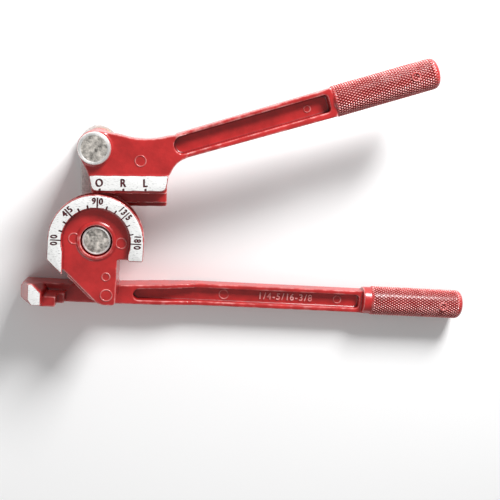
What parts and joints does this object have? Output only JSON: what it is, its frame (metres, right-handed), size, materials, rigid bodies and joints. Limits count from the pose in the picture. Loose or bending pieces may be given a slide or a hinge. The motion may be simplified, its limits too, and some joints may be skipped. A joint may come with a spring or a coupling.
{
  "type": "manual tube bender",
  "caption": "Lever tube bender with crossing knurled handles, grooved bending wheel with degree dial, pivoting grooved shoe and fixed side hook.",
  "frame": {"origin": "on the bending wheel's pin axis, at the plane that the tool rests on when it lies on its back", "axes": "+Z out of the dial face, +X along the lower handle towards its grip, +Y from the handle towards the ninety degree mark of the dial"},
  "size_m": [0.2673, 0.1547, 0.0495],
  "materials": {
    "red_casting": "glossy baked enamel over die-cast aluminium, ground bare on the dial and the shoe's band",
    "pin_steel": "zinc-plated steel with a rough forged face and a bright rim",
    "link_steel": "zinc-plated pressed steel",
    "washer_bronze": "dull bronze",
    "washer_steel": "plain zinc plate",
    "clip_steel": "blackened spring steel"
  },
  "bodies": {
    "lower_handle": {"lower_handle": "red_casting", "wheel_pin": "pin_steel", "wheel_thrust_washer": "washer_bronze", "wheel_rear_washer": "washer_steel", "wheel_pin_clip": "clip_steel"},
    "link": {"link_plate": "link_steel"},
    "shoe_handle": {"upper_handle": "red_casting", "shoe_pin": "pin_steel", "shoe_thrust_washer": "washer_bronze", "shoe_rear_washer": "washer_steel", "shoe_pin_clip": "clip_steel"}
  },
  "joints": [
    {"name": "link_swing", "type": "hinge", "parent": "lower_handle", "child": "link", "pos_m": [0, 0, 0.0055], "axis": [0, 0, 1], "range_deg": [-93, 87]},
    {"name": "shoe_handle_swing", "type": "hinge", "parent": "link", "child": "shoe_handle", "pos_m": [-0.00267, 0.05093, 0.0055], "axis": [0, 0, 1], "range_deg": [0, 150]}
  ]
}
